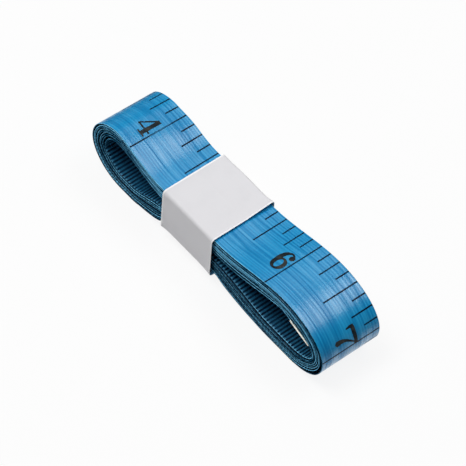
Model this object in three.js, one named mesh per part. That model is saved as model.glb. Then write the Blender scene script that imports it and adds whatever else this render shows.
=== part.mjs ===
// A tailor's cloth tape measure, 60 inches long, wound flat into a figure of nine turns and held by a paper
// band round its waist. A folded brass clip closes each end of the tape.
// Lengths are in millimetres. +X runs along the winding, +Y across the tape and +Z up. The origin is on the
// table, under the middle of the object's box.
import * as THREE from 'three';

// Tape
const tapeLength = 1524;
const tapeWidth = 17.5;
const tapeThickness = 0.28;

// Winding, given from the inside out: the hollow in each end loop, the waist between them and the turns
const layers = 9;
const rightEyeHeight = 7.6;
const rightEyeReach = 8.1;
const rightShoulderRun = 24.6;
const rightHeel = 3.5;
const leftEyeHeight = 7.2;
const leftEyeReach = 5;
const leftShoulderRun = 16;
const waistAir = 0.65;
const footRun = 4;
const looseAir = 1.15;
const rightLooseLean = 1.5;
const leftLooseLean = 1;

// The first end lies straight under the right loop, and the last end hangs into its hollow
const firstEndRun = 2.5;
const lastEndRadius = 5;
const lastEndDroop = THREE.MathUtils.degToRad(19);
const lastEndRun = 8.6;

// End clips: one brass sheet folded over the end of the tape
const clipSheet = 0.2;
const clipFit = 0.05;
const clipLength = 8;
const clipSideReach = 0.15;
const clipAir = 0.17;

// Paper band
const paper = 0.2;
const bandLength = 18.4;
const bandSlack = 0.3;
const bandCornerRadius = 0.7;
const bandOverlapRun = 7;
const bandOverlapRamp = 1.2;
const bandOverlapOffset = 2.5;

// Facets
const endSteps = 16;
const rightShoulderSteps = 8;
const leftShoulderSteps = 6;
const lastEndSteps = 4;
const foldSteps = 6;
const cornerSteps = 4;

// The air between two layers takes one leaf of a clip, and the lowest clip stands on the table
const clipLeaf = clipFit + clipSheet;
const pitch = tapeThickness + clipLeaf + clipAir;
const stack = (layers - 1) * pitch;
const halfTape = tapeThickness / 2;

// Half heights of the innermost line, measured to the middle of the tape
const rightRise = rightEyeHeight / 2 + halfTape;
const leftRise = leftEyeHeight / 2 + halfTape;
const waistRise = waistAir / 2 + halfTape;

// Heights of the middle of each loop above the table. The right loop stands on its clip.
const rightLevel = clipLeaf + halfTape + stack + rightRise;
const leftLevel = halfTape + stack + leftRise;
const waistLevel = (rightLevel + leftLevel) / 2;

// A station is a point of the tape's middle line and the normal that points out of the winding
function station(x, z, alongX, alongZ) {
  const length = Math.hypot(alongX, alongZ);
  return { x, z, nx: -alongZ / length, nz: alongX / length };
}

function outward(point, distance) {
  return { ...point, x: point.x + point.nx * distance, z: point.z + point.nz * distance };
}

function shares(steps) {
  return Array.from({ length: steps }, (_, i) => (i + 1) / steps);
}

// From 0 to 1, level at both ends
function eased(share) {
  return (1 - Math.cos(Math.PI * share)) / 2;
}

// A shoulder of the innermost line that leaves and arrives level, or a level run, without its first point
function shoulder(from, to, steps) {
  const run = to.x - from.x;
  const rise = to.z - from.z;
  return shares(steps).map((share) => {
    const slope = rise * Math.PI * Math.sin(Math.PI * share) / 2;
    return station(from.x + run * share, from.z + rise * eased(share), run, slope);
  });
}

// The end of a loop, one or more layers out from its innermost line: two quarter ellipses of one reach, in
// equal steps of the way that the normal points. The lower quarter starts one heel further out. Loose air
// swells the middle of the end, or its second half where the lean is over 1.
function loopEnd(loop, startAngle, layersOut, loose) {
  return shares(endSteps).map((share) => {
    const angle = startAngle - Math.PI * share;
    const heel = Math.sin(angle) < 0 ? loop.heel : 0;
    const reach = loop.reach - heel;
    const size = Math.hypot(reach * Math.cos(angle), loop.rise * Math.sin(angle));
    const x = loop.x + heel + reach * reach * Math.cos(angle) / size;
    const z = loop.z + loop.rise * loop.rise * Math.sin(angle) / size;
    const inner = station(x, z, Math.sin(angle), -Math.cos(angle));
    const swell = loose * Math.sin(Math.PI * share ** loop.looseLean) ** 2;
    return outward(inner, layersOut(share) * pitch + swell);
  });
}

// The route of the tape's middle from its first end to its last, clockwise from the front: along the
// bottom to the left, round the left end, along the top to the right and round the right end. Each turn
// lies one pitch inside the turn before, and steps in by that pitch on its way round the right end. The
// outermost turn stands loose at both ends.
function windingRoute(waistRun) {
  const right = {
    x: waistRun / 2 + rightShoulderRun,
    z: rightLevel,
    reach: rightEyeReach + halfTape,
    rise: rightRise,
    heel: rightHeel,
    looseLean: rightLooseLean,
  };
  const left = {
    x: -waistRun / 2 - leftShoulderRun,
    z: leftLevel,
    reach: leftEyeReach + halfTape,
    rise: leftRise,
    heel: 0,
    looseLean: leftLooseLean,
  };
  const at = (x, z) => ({ x, z });
  const bottom = [
    at(right.x + rightHeel, right.z - right.rise),
    at(right.x - footRun, right.z - right.rise),
    at(waistRun / 2, waistLevel - waistRise),
    at(-waistRun / 2, waistLevel - waistRise),
    at(left.x + footRun, left.z - left.rise),
    at(left.x, left.z - left.rise),
  ];
  const top = [
    at(left.x, left.z + left.rise),
    at(-waistRun / 2, waistLevel + waistRise),
    at(waistRun / 2, waistLevel + waistRise),
    at(right.x, right.z + right.rise),
  ];
  const bottomLine = [
    ...shoulder(bottom[0], bottom[1], 1),
    ...shoulder(bottom[1], bottom[2], rightShoulderSteps),
    ...shoulder(bottom[2], bottom[3], 1),
    ...shoulder(bottom[3], bottom[4], leftShoulderSteps),
    ...shoulder(bottom[4], bottom[5], 1),
  ];
  const topLine = [
    ...shoulder(top[0], top[1], leftShoulderSteps),
    ...shoulder(top[1], top[2], 1),
    ...shoulder(top[2], top[3], rightShoulderSteps),
  ];
  const start = outward(station(bottom[0].x, bottom[0].z, -1, 0), stack);
  const route = [{ ...start, x: start.x + firstEndRun }, start];
  for (let turn = 0; turn < layers; turn += 1) {
    const out = layers - 1 - turn;
    const loose = turn === 0 ? looseAir : 0;
    route.push(...bottomLine.map((point) => outward(point, out * pitch)));
    route.push(...loopEnd(left, -Math.PI / 2, () => out, loose));
    route.push(...topLine.map((point) => outward(point, out * pitch)));
    if (out > 0) route.push(...loopEnd(right, Math.PI / 2, (share) => out - eased(share), loose));
  }
  route.pop();
  return [...route, ...lastEnd(route[route.length - 1])];
}

// The last end leaves the top of the right loop in an arc and runs on straight to its tip
function lastEnd(from) {
  const slope = Math.atan2(-from.nx, from.nz);
  const hub = outward(from, -lastEndRadius);
  const arc = shares(lastEndSteps).map((share) => {
    const angle = slope - (slope + lastEndDroop) * share;
    const turned = station(hub.x, hub.z, Math.cos(angle), Math.sin(angle));
    return outward(turned, lastEndRadius);
  });
  const bend = arc[arc.length - 1];
  const tip = {
    ...bend,
    x: bend.x + bend.nz * lastEndRun,
    z: bend.z - bend.nx * lastEndRun,
  };
  return [...arc, tip];
}

function routeLength(route) {
  return route.slice(1).reduce((sum, point, i) => sum + Math.hypot(point.x - route[i].x, point.z - route[i].z), 0);
}

// Every layer crosses the waist twice, so what the tape's length leaves over goes to the waist
const spareLength = tapeLength - routeLength(windingRoute(bandLength));
const waistRun = bandLength + spareLength / (2 * layers);
const route = windingRoute(waistRun);

// The least air between two layers, from each station to every stretch of tape that isn't next to it
function leastAir(points, apart) {
  let least = Infinity;
  const travelled = [0];
  points.slice(1).forEach((point, i) => {
    travelled.push(travelled[i] + Math.hypot(point.x - points[i].x, point.z - points[i].z));
  });
  points.forEach((point, i) => {
    for (let j = 0; j + 1 < points.length; j += 1) {
      if (Math.min(Math.abs(travelled[i] - travelled[j]), Math.abs(travelled[i] - travelled[j + 1])) < apart) continue;
      const runX = points[j + 1].x - points[j].x;
      const runZ = points[j + 1].z - points[j].z;
      const along = ((point.x - points[j].x) * runX + (point.z - points[j].z) * runZ) / (runX * runX + runZ * runZ);
      const share = Math.min(1, Math.max(0, along));
      const away = Math.hypot(point.x - points[j].x - runX * share, point.z - points[j].z - runZ * share);
      least = Math.min(least, away - tapeThickness);
    }
  });
  return least;
}

// The middle of the route's box along X becomes the origin
const outsideX = route.flatMap((point) => [point.x + point.nx * halfTape, point.x - point.nx * halfTape]);
const middleX = (Math.min(...outsideX) + Math.max(...outsideX)) / 2;

const half = tapeWidth / 2;
console.log(`tape ${routeLength(route).toFixed(2)} mm long, waist ${waistRun.toFixed(2)} mm`);
console.log(`least gap between layers ${leastAir(route, rightEyeReach + leftEyeReach).toFixed(3)} mm`);
console.log(`box ${(Math.max(...outsideX) - Math.min(...outsideX)).toFixed(2)} mm long, waist middle at ${(-middleX).toFixed(2)}`);

// Finishes
const blueVinyl = new THREE.MeshStandardMaterial({ color: 0x2f83c0, roughness: 0.38, metalness: 0 });
const brass = new THREE.MeshStandardMaterial({ color: 0xcaa658, roughness: 0.3, metalness: 1 });
const whitePaper = new THREE.MeshStandardMaterial({ color: 0xe9e7e8, roughness: 0.75, metalness: 0 });

// Extrudes an outline in the XZ plane across the width, about the middle plane
function acrossWidth(name, outline, width, material) {
  const geometry = new THREE.ExtrudeGeometry(new THREE.Shape(outline), { depth: width, bevelEnabled: false });
  geometry.translate(0, 0, -width / 2);
  const mesh = new THREE.Mesh(geometry, material);
  mesh.name = name;
  mesh.rotation.x = Math.PI / 2;
  return mesh;
}

function tape() {
  const side = (sign) => route.map((point) => new THREE.Vector2(
    point.x - middleX + sign * point.nx * halfTape,
    point.z + sign * point.nz * halfTape,
  ));
  return acrossWidth('tape_strip', [...side(-1), ...side(1).reverse()], tapeWidth, blueVinyl);
}

// A clip round the end of the tape: a leaf on each face and a round fold past the tip
function endClip(name, tip, inwardX, inwardZ) {
  const innerHalf = halfTape + clipFit;
  const outerHalf = innerHalf + clipSheet;
  const at = (along, across) => new THREE.Vector2(
    tip.x - middleX + inwardX * along - inwardZ * across,
    tip.z + inwardZ * along + inwardX * across,
  );
  const fold = (radius, sign) => Array.from({ length: foldSteps + 1 }, (_, i) => {
    const angle = sign * (Math.PI / 2 - Math.PI * i / foldSteps);
    return at(-clipFit - radius * Math.cos(angle), radius * Math.sin(angle));
  });
  const outline = [
    at(clipLength, outerHalf),
    ...fold(outerHalf, 1),
    at(clipLength, -outerHalf),
    at(clipLength, -innerHalf),
    ...fold(innerHalf, -1),
    at(clipLength, innerHalf),
  ];
  return acrossWidth(name, outline, tapeWidth + 2 * clipSideReach, brass);
}

// A rectangle with round corners, anticlockwise from its bottom left corner
function roundedOutline(halfWidth, low, high, radius) {
  const corners = [
    { y: halfWidth - radius, z: low + radius, start: -Math.PI / 2 },
    { y: halfWidth - radius, z: high - radius, start: 0 },
    { y: radius - halfWidth, z: high - radius, start: Math.PI / 2 },
    { y: radius - halfWidth, z: low + radius, start: Math.PI },
  ];
  return corners.flatMap(({ y, z, start }) => Array.from({ length: cornerSteps + 1 }, (_, i) => {
    const angle = start + Math.PI / 2 * i / cornerSteps;
    return new THREE.Vector2(y + radius * Math.cos(angle), z + radius * Math.sin(angle));
  }));
}

// The band: a sleeve whose ends overlap underneath, so that the paper is double there
function paperBand() {
  const holdHalf = stack + waistRise + halfTape + bandSlack;
  const low = waistLevel - holdHalf;
  const high = waistLevel + holdHalf;
  const insideHalf = half + bandSlack;
  const inside = roundedOutline(insideHalf, low, high, bandCornerRadius);
  const outside = roundedOutline(insideHalf + paper, low - paper, high + paper, bandCornerRadius + paper);
  const flapStart = -bandOverlapOffset;
  const flapEnd = flapStart + bandOverlapRun;
  const flap = [
    new THREE.Vector2(flapStart, low - paper),
    new THREE.Vector2(flapStart, low - 2 * paper),
    new THREE.Vector2(flapEnd, low - 2 * paper),
    new THREE.Vector2(flapEnd + bandOverlapRamp, low - paper),
  ];
  const shape = new THREE.Shape([...flap, ...outside]);
  shape.holes.push(new THREE.Path(inside));
  const geometry = new THREE.ExtrudeGeometry(shape, { depth: bandLength, bevelEnabled: false });
  geometry.translate(0, 0, -bandLength / 2);
  const mesh = new THREE.Mesh(geometry, whitePaper);
  mesh.name = 'paper_band';
  const axes = [new THREE.Vector3(0, 1, 0), new THREE.Vector3(0, 0, 1), new THREE.Vector3(1, 0, 0)];
  mesh.quaternion.setFromRotationMatrix(new THREE.Matrix4().makeBasis(...axes));
  mesh.position.x = -middleX;
  return mesh;
}

const firstTip = route[0];
const lastTip = route[route.length - 1];

const tapeMeasure = new THREE.Group();
tapeMeasure.add(
  tape(),
  endClip('outer_end_clip', firstTip, -1, 0),
  endClip('inner_end_clip', lastTip, -Math.cos(lastEndDroop), Math.sin(lastEndDroop)),
  paperBand(),
);

export default tapeMeasure;
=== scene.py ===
"""A cloth tape measure, wound flat and held by a paper band, finished on its own fixed frame."""

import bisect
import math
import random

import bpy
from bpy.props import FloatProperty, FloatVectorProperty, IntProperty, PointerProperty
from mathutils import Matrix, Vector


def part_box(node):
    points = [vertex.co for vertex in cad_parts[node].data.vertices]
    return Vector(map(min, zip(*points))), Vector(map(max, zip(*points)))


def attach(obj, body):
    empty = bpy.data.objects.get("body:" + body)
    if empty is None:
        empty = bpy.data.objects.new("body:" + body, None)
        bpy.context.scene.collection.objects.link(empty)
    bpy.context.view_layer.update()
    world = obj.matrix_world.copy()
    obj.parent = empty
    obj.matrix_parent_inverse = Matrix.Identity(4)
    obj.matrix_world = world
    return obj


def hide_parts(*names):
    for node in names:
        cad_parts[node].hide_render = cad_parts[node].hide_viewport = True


bl_info = {
    "name": "Cloth Tape Measure",
    "version": (1, 0, 0),
    "blender": (4, 5, 0),
    "location": "View3D > Sidebar > Tape Measure",
    "description": "Builds a wound cloth tape measure with its printed scales, end clips and paper band",
    "category": "Object",
}

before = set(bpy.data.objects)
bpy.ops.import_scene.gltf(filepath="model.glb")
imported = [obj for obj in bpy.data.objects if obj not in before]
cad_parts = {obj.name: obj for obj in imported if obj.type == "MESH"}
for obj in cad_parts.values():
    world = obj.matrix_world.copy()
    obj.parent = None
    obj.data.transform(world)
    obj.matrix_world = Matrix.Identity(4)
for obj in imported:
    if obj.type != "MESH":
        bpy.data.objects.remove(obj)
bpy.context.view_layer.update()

TAPE_LOW, TAPE_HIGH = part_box("tape_strip")
BAND_LOW, BAND_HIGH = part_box("paper_band")
MM = 0.001
INCH = 25.4 * MM
SMOOTH_ANGLE = math.radians(50)


def length(name, description, default):
    """A size in metres that a user would change."""
    return FloatProperty(
        name=name, description=description, default=default, min=0, unit="LENGTH", precision=5
    )


def colour(name, description, default):
    """A linear colour that a user would change."""
    return FloatVectorProperty(
        name=name, description=description, default=default, size=3, min=0, max=1, subtype="COLOR"
    )


class TapeWindingSizes(bpy.types.PropertyGroup):
    """The strip and the way it is wound, given by the outside of the winding."""

    tape_length: length("Tape length", "Length of the strip", 1598 * MM)
    tape_width: length("Tape width", "Width of the strip", TAPE_HIGH.y - TAPE_LOW.y)
    tape_thickness: length("Tape thickness", "Thickness of the coated cloth", 0.21 * MM)
    layers: IntProperty(
        name="Layers", description="Layers of tape on each side of the waist", default=9, min=2
    )
    top_pitch: length("Top pitch", "Mean step from layer to layer on top", 0.454 * MM)
    under_pitch: length("Under pitch", "Mean step from layer to layer underneath", 0.65 * MM)
    small_end_pitch: length("Small end pitch", "Mean step from layer to layer at the small end", 0.59 * MM)
    large_end_pitch: length("Large end pitch", "Mean step from layer to layer at the large end", 0.46 * MM)
    outer_gap: FloatProperty(
        name="Outer gap", description="The outermost step against the others", default=1.15
    )
    inner_gap: FloatProperty(
        name="Inner gap", description="The innermost step against the others", default=1.35
    )
    waist_height: length("Waist height", "Height of the winding at its waist", 12.41 * MM)
    large_height: length("Large loop height", "Height of the large loop", 19.70 * MM)
    large_reach: length("Large loop reach", "Length of the large loop's round end", 15.05 * MM)
    large_heel: length("Large loop heel", "How much further out the round end starts underneath", 3.5 * MM)
    large_shoulder: length("Large loop shoulder", "From the waist to the large loop's round end", 24.8 * MM)
    small_height: length("Small loop height", "Height of the small loop", 19.6 * MM)
    small_reach: length("Small loop reach", "Length of the small loop's round end", 10.0 * MM)
    small_shoulder: length("Small loop shoulder", "From the waist to the small loop's round end", 18.2 * MM)
    small_heel: length("Small loop heel", "How much nearer the round end starts underneath", 1.2 * MM)
    small_dip: length("Small loop dip", "How far the outer turns dip before the band", 0.8 * MM)
    small_slack: length("Small loop slack", "Extra depth of the layers at its lower quarter", 0.9 * MM)
    large_slack: length("Large loop slack", "Extra depth of the layers underneath", 0.5 * MM)
    large_belly: length("Large loop belly", "How far the outer turns hang down beside the band", 0.9 * MM)
    belly_start: length("Belly start", "How far from the band the turns start to hang", 1.8 * MM)
    belly_run: length("Belly run", "Length over which the turns hang down", 14 * MM)
    small_belly: length("Small loop belly", "How far the turns hang at the small end", 0.95 * MM)
    small_belly_start: length("Small belly start", "How far from the band that hang starts", 1.1 * MM)
    small_belly_run: length("Small belly run", "Length over which the turns hang there", 8.1 * MM)
    small_lean: length("Small loop lean", "How much lower its top lies at the far edge", 1.4 * MM)
    small_lean_run: length("Small lean run", "Length over which the lean fades out", 8.5 * MM)
    foot_run: length("Foot run", "Flat run under each loop", 4 * MM)
    large_air: length("Large loop air", "How far the outermost turn stands off at the large end", 0.6 * MM)
    small_air: length("Small loop air", "How far the outermost turn stands off at the small end", 0.1 * MM)
    large_air_lean: FloatProperty(
        name="Large air lean", description="How far down the loop its air is moved", default=2.2, min=1
    )
    first_end_lift: length("First end lift", "How far the first end stands up on its clip", 0.245 * MM)
    first_end_run: length("First end run", "Straight run of the first end", 1.55 * MM)
    inner_sag: length("Inner sag", "How far the innermost layer sags before the large loop", 1.0 * MM)
    last_end_reach: length("Last end reach", "From the large loop's top to the last end's bend", 1.2 * MM)
    last_end_radius: length("Last end radius", "Bend at which the last end leaves its layer", 5 * MM)
    last_end_run: length("Last end run", "Straight run of the last end", 8.7 * MM)
    last_end_droop: FloatProperty(
        name="Last end droop", description="Slope of the last end", default=math.radians(19), subtype="ANGLE"
    )
    side_drift: length("Side drift", "How far the turns stray sideways", 0.14 * MM)
    first_end_drift: length("First end drift", "How far the first end strays back", 0.50 * MM)


class TapeScaleSizes(bpy.types.PropertyGroup):
    """The printed scales."""

    inches: IntProperty(name="Inches", description="Inches that the scale shows", default=60, min=1)
    centimetres: IntProperty(
        name="Centimetres", description="Centimetres that the scale shows", default=152, min=1
    )
    ink_height: length("Ink height", "How far the ink stands up from the tape", 0.020 * MM)
    ink_depth: length("Ink depth", "How far the ink reaches into the tape", 0.03 * MM)
    inch_line: length("Inch line", "Width of the inch scale's lines", 0.39 * MM)
    eighth_mark: length("Eighth mark", "Length of the eighth inch marks", 4.0 * MM)
    quarter_mark: length("Quarter mark", "Length of the quarter inch marks", 6.3 * MM)
    half_mark: length("Half mark", "Length of the half inch marks", 10.3 * MM)
    figure_height: length("Figure height", "Height of the inch figures", 6.4 * MM)
    figure_foot: length("Figure foot", "From the near edge to the foot of the inch figures", 4.5 * MM)
    figure_air: length("Figure air", "Between an inch figure and its line", 0.35 * MM)
    metric_line: length("Metric line", "Width of the centimetre scale's lines", 0.50 * MM)
    millimetre_mark: length("Millimetre mark", "Length of the millimetre marks", 4.6 * MM)
    five_mark: length("Five millimetre mark", "Length of the five millimetre marks", 6.2 * MM)
    centimetre_mark: length("Centimetre mark", "Length of the centimetre marks", 8.2 * MM)
    metric_figure_height: length("Metric figure height", "Height of the centimetre figures", 4.4 * MM)


class TapeFittingSizes(bpy.types.PropertyGroup):
    """The end clips and the paper band."""

    clip_length: length("Clip length", "Length of each leaf of a clip", 7.1 * MM)
    clip_sheet: length("Clip sheet", "Thickness of the brass", 0.12 * MM)
    clip_bulge: length("Clip bulge", "How much further the middle of its outer leaf stands off", 0.22 * MM)
    clip_fit: length("Clip fit", "Air between the tape and the clip", 0.02 * MM)
    dent_radius: length("Dent radius", "Radius of the pressed dents", 1.1 * MM)
    dent_depth: length("Dent depth", "Depth of the pressed dents", 0.03 * MM)
    paper: length("Paper", "Thickness of the paper", 0.14 * MM)
    band_corner: length("Band corner", "Radius of the band's corners", 0.75 * MM)
    band_overlap: length("Band overlap", "How far the band's ends overlap", 7 * MM)
    corner_lift: length("Corner lift", "How far the band's far corner stands up", 0.9 * MM)
    side_bulge: length("Side bulge", "How far the band's far side bulges out", 0.14 * MM)
    near_bulge: length("Near bulge", "How far the band's near side stands out", 0.12 * MM)
    top_bulge: length("Top bulge", "How far the far edge of the band's top bulges up", 0.42 * MM)
    band_flare: length("Band flare", "How far the band's ends stand off from the tape", 0.22 * MM)
    top_flare: length("Top flare", "How far the band's near end stands off above and underneath", 0.38 * MM)
    # Width of the painted highlight along the band's edges
    band_rim: length("Band rim", "Width of the painted highlight along the band's edges", 0.46 * MM)


class TapeMeasureColours(bpy.types.PropertyGroup):
    """Linear colours of the finishes."""

    vinyl: colour("Vinyl", "Blue of the coated cloth", (0.001, 0.242, 0.545))
    thread: colour("Thread", "Paler blue of the raised threads", (0.020, 0.400, 0.740))
    vinyl_deep: colour("Deep vinyl", "Darker blue between the threads", (0.001, 0.145, 0.370))
    # The cut edges' blue with a painted highlight, and the same in painted shade
    edge_pale: colour("Pale edge", "Cut edges' blue with a painted highlight", (0.220, 0.670, 1.000))
    edge_deep: colour("Deep edge", "Cut edges' blue in painted shade", (0.001, 0.068, 0.150))
    # Painted shade on the inner face
    shade: colour("Shade", "Painted shade on the inner face", (0.020, 0.056, 0.086))
    # Painted shade in the gaps between the layers, and also the ink of the marks that reach the cut edges
    gap: colour("Gap", "Painted shade in the gaps between the layers, and the ink of the marks on the cut edges", (0.001, 0.008, 0.020))
    ink: colour("Ink", "Black of the printed scale", (0.001, 0.012, 0.034))
    ink_worn: colour("Worn ink", "Ink where it has rubbed thin", (0.003, 0.045, 0.100))
    figure_ink: colour("Figure ink", "Grey black of the printed figures", (0.010, 0.017, 0.022))
    figure_worn: colour("Worn figure ink", "Brownish grey of the rubbed figures", (0.060, 0.062, 0.058))
    brass: colour("Brass", "Bright brass", (1.00, 0.98, 0.88))
    brass_deep: colour("Deep brass", "Tarnished brass", (0.75, 0.55, 0.28))
    paper: colour("Paper", "White of the paper band", (0.782, 0.776, 0.802))
    # Painted highlight along the band's edges
    paper_rim: colour("Paper rim", "Painted highlight on the paper along the band's edges", (0.97, 0.97, 0.98))
    paper_grey: colour("Paper grey", "Greyer fibre of the paper", (0.64, 0.64, 0.67))
    floor: colour("Floor", "Pale floor", (0.90, 0.90, 0.90))


class Wire:
    """A node's output socket, with Python's operators for shader maths."""

    def __init__(self, finish, socket):
        self.finish = finish
        self.socket = socket

    def other(self, output):
        """Another output of the same node."""
        return Wire(self.finish, self.socket.node.outputs[output])

    def maths(self, operation, *others):
        """A Math node whose first value is this one."""
        return self.finish.maths(operation, self, *others)

    def __add__(self, other):
        return self.maths("ADD", other)

    def __mul__(self, other):
        return self.maths("MULTIPLY", other)

    def __sub__(self, other):
        return self.maths("SUBTRACT", other)

    def __rsub__(self, other):
        return self.finish.maths("SUBTRACT", other, self)

    __radd__ = __add__
    __rmul__ = __mul__

    def clamped(self, low, high):
        """From 0 at one value to 1 at another, and level beyond them."""
        inputs = {"Value": self, "From Min": low, "From Max": high}
        return self.finish.node("ShaderNodeMapRange", {}, inputs)


class Finish:
    """A node-based material. Its node method adds a node, with its settings first and then its inputs."""

    def __init__(self, name):
        self.material = bpy.data.materials.new(name)
        self.material.use_nodes = True
        self.tree = self.material.node_tree
        self.tree.nodes.clear()

    def node(self, kind, settings, inputs, output=0):
        made = self.tree.nodes.new(kind)
        for name, value in settings.items():
            setattr(made, name, value)
        for name, value in inputs.items():
            socket = made.inputs[name]
            if isinstance(value, Wire):
                self.tree.links.new(value.socket, socket)
            elif socket.type == "RGBA":
                socket.default_value = (*value, 1)
            else:
                socket.default_value = value
        return Wire(self, made.outputs[output])

    def maths(self, operation, *values):
        return self.node("ShaderNodeMath", {"operation": operation}, dict(enumerate(values)))

    def mix(self, share, first, second):
        """A colour between two, each a colour or another wire."""
        settings = {"data_type": "RGBA", "clamp_factor": True}
        return self.node("ShaderNodeMix", settings, {0: share, 6: first, 7: second}, 2)

    def stretched(self, coordinates, scale, detail, roughness=0.5):
        """Noise on coordinates that are first scaled by a vector, in cells per metre."""
        placed = self.node("ShaderNodeMapping", {}, {"Vector": coordinates, "Scale": scale})
        settings = {"noise_dimensions": "3D"}
        inputs = {"Vector": placed, "Scale": 1, "Detail": detail, "Roughness": roughness}
        return self.node("ShaderNodeTexNoise", settings, inputs)

    def creased(self, coordinates, scale):
        """The way to the nearest border of long cells, on coordinates that are first scaled."""
        placed = self.node("ShaderNodeMapping", {}, {"Vector": coordinates, "Scale": scale})
        settings = {"voronoi_dimensions": "2D", "feature": "DISTANCE_TO_EDGE"}
        return self.node("ShaderNodeTexVoronoi", settings, {"Vector": placed, "Scale": 1}, "Distance")

    def bump(self, height, strength, distance):
        """The normal that a relief gives, as many metres deep as the distance says."""
        inputs = {"Strength": strength, "Distance": distance, "Height": height}
        return self.node("ShaderNodeBump", {}, inputs)

    def principled(self, inputs):
        return self.node("ShaderNodeBsdfPrincipled", {}, inputs)

    def surface(self, shader):
        output = self.tree.nodes.new("ShaderNodeOutputMaterial")
        self.tree.links.new(shader.socket, output.inputs["Surface"])
        return self.material


# The cloth's ribs and the depth of each finish's relief
RIB_STEP = 0.76 * MM
YARN_RELIEF = 0.08 * MM
INK_RELIEF = 0.02 * MM
BRASS_RELIEF = 0.02 * MM
FIBRE_RELIEF = 0.03 * MM

# Each of these fades in from one distance to another, the first four measured in from the strip's edge
# Painted shade on the hidden faces near the edges, where the layers lie on each other
GAP_SHADE_FADE = (0.9 * MM, 0.7 * MM)
# Painted highlight along the outer face's edges
OUTER_RIM_HIGHLIGHT_FADE = (0.30 * MM, 0.05 * MM)
# Painted highlight along the inner face's edges
INNER_RIM_HIGHLIGHT_FADE = (0.50 * MM, 0.25 * MM)
CUT_FADE = (0.01 * MM, -0.03 * MM)
# Measured along the strip: the cut edges of the first end's run stay in painted shade, and their painted
# highlight fades in here
FIRST_RUN_EDGE_SHADE_FADE = (78 * MM, 90 * MM)
FAR_FLOOR_FADE = (50 * MM, 80 * MM)


def cloth_threads(finish, colours, strip, around):
    """The outer face's blue, relief and gloss: ribs along the strip, broken up by threads of many sizes."""
    yarns = finish.stretched(strip, (26, 1900, 1), 2)
    strands = finish.stretched(strip, (16, 620, 1), 2)
    weft = finish.stretched(strip, (1500, 500, 1), 1)
    patches = finish.stretched(strip, (60, 150, 1), 3)
    faint = finish.stretched(strip, (40, 400, 1), 1)
    dark_thread = finish.creased(strip, (24, 640, 1)).clamped(0.13, 0.05) * faint.clamped(0.36, 0.56)
    pale_thread = finish.creased(strip, (17, 980, 1)).clamped(0.20, 0.09) * faint.clamped(0.62, 0.42)
    swing = around * (math.tau / RIB_STEP) + strands * 4
    ribs = (1 + swing.maths("SINE")) * 0.5
    crest = (ribs * 0.34 + yarns * 1.30 - 0.27).clamped(0.42, 0.80)
    valley = (ribs * 0.45 + yarns * 0.90 - 0.10).clamped(0.36, 0.12)

    blue = finish.mix(crest * 0.60, colours.vinyl, colours.thread)
    blue = finish.mix(valley * 0.50, blue, colours.vinyl_deep)
    blue = finish.mix(strands.clamped(0.44, 0.34) * 0.10, blue, colours.vinyl_deep)
    blue = finish.mix(patches.clamped(0.50, 0.72) * 0.25, blue, colours.thread)
    blue = finish.mix(pale_thread * 0.20, blue, colours.thread)
    blue = finish.mix(weft.clamped(0.52, 0.66) * 0.15, blue, colours.thread)
    blue = finish.mix(dark_thread * 0.50, blue, colours.vinyl_deep)
    relief = crest * 0.30 + yarns * 0.35 + weft * 0.34 + strands * 0.08
    relief = relief + pale_thread * 0.3 - dark_thread * 0.2
    gloss = (0.38 + crest * 0.32 + pale_thread * 0.40) * (1 - dark_thread * 0.95)
    return blue, relief, gloss


def cut_edge(finish, colours, winding, strip, along, around):
    """The cut edges' colour: a painted highlight on some turns and painted shade on others, and the
    millimetre marks that reach them.
    """
    turns = finish.stretched(strip, (13, 0, 1), 1)
    glint_noise = finish.stretched(strip, (420, 0, 1), 2)
    # Painted highlight on some turns' cut edges and painted shade on the others, chosen by noise along the
    # strip
    pale = turns.clamped(0.47, 0.53) * 0.8 + glint_noise.clamped(0.42, 0.62) * 0.4
    # Painted shade on the cut edges of the first end's run, by their place along the strip
    edge = finish.mix(pale * along.clamped(*FIRST_RUN_EDGE_SHADE_FADE), colours.edge_deep, colours.edge_pale)
    millimetre = (along * (1 / MM) + 0.5).maths("FRACT") - 0.5
    mark = millimetre.maths("ABSOLUTE").clamped(0.22, 0.12)
    beneath = (around - (1.5 * winding.flat + winding.cut)).maths("ABSOLUTE")
    start = (winding.flat + 1.2 * winding.cut) / 2
    end = (winding.flat + 0.8 * winding.cut) / 2
    beneath = beneath.clamped(start, end)
    return finish.mix(mark * beneath * 0.5, edge, colours.gap)


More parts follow.
